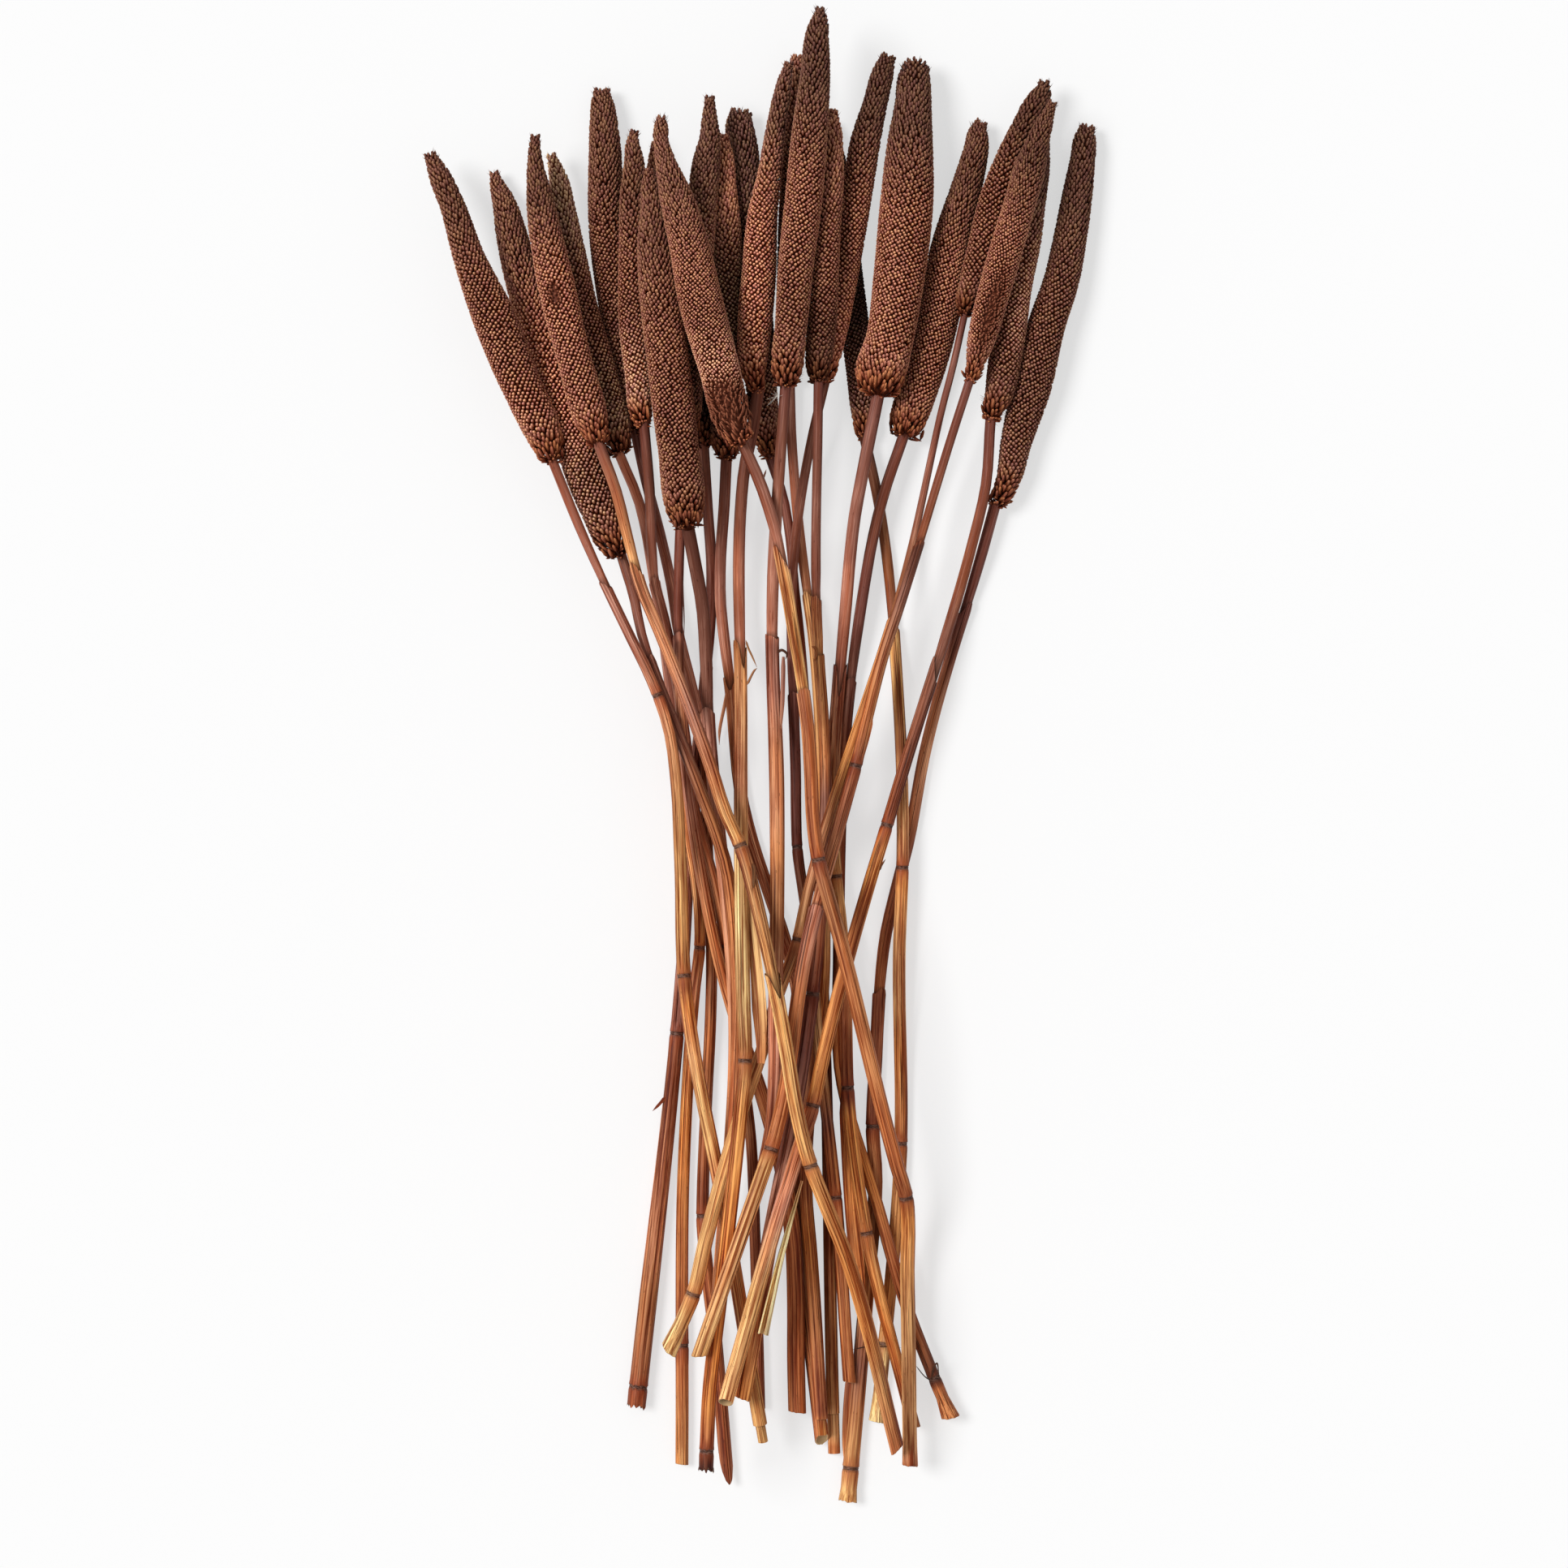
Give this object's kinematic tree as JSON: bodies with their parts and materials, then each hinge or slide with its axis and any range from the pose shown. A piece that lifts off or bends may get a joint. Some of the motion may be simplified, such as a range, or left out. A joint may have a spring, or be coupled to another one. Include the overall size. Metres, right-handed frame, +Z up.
{
  "type": "bunch of dried pearl millet stalks",
  "caption": "Loose bunch of dried pearl millet lying flat: long grainy seed heads fan out at one end and bare jointed stems cross and spread below them.",
  "frame": {"origin": "the middle of the bunch's outline, on the surface that it lies on", "axes": "+Y along the bunch towards the seed heads, +X across it, +Z up from the surface"},
  "size_m": [0.2259, 0.502, 0.0417],
  "materials": {
    "seed_head": "densely grained red-brown seed head, each grain with a soft sheen",
    "stem": "ribbed dry stem, from plum brown to orange tan and gold, with dark rings at the joints",
    "leaf": "pale straw, ribbed and papery"
  },
  "bodies": {
    "root": {"seed_head_01": "seed_head", "seed_head_02": "seed_head", "seed_head_03": "seed_head", "seed_head_04": "seed_head", "seed_head_05": "seed_head", "seed_head_06": "seed_head", "seed_head_07": "seed_head", "seed_head_08": "seed_head", "seed_head_09": "seed_head", "seed_head_10": "seed_head", "seed_head_11": "seed_head", "seed_head_12": "seed_head", "seed_head_13": "seed_head", "seed_head_14": "seed_head", "seed_head_15": "seed_head", "seed_head_16": "seed_head", "seed_head_17": "seed_head", "seed_head_18": "seed_head", "seed_head_19": "seed_head", "seed_head_20": "seed_head", "seed_head_21": "seed_head", "seed_head_22": "seed_head", "seed_head_23": "seed_head", "seed_head_24": "seed_head", "stem_01": "stem", "stem_02": "stem", "stem_03": "stem", "stem_04": "stem", "stem_05": "stem", "stem_06": "stem", "stem_07": "stem", "stem_08": "stem", "stem_09": "stem", "stem_10": "stem", "stem_11": "stem", "stem_12": "stem", "stem_13": "stem", "stem_14": "stem", "stem_15": "stem", "stem_16": "stem", "stem_17": "stem", "stem_18": "stem", "stem_19": "stem", "stem_20": "stem", "stem_21": "stem", "stem_22": "stem", "stem_23": "stem", "stem_24": "stem", "loose_leaf": "leaf"}
  },
  "joints": []
}
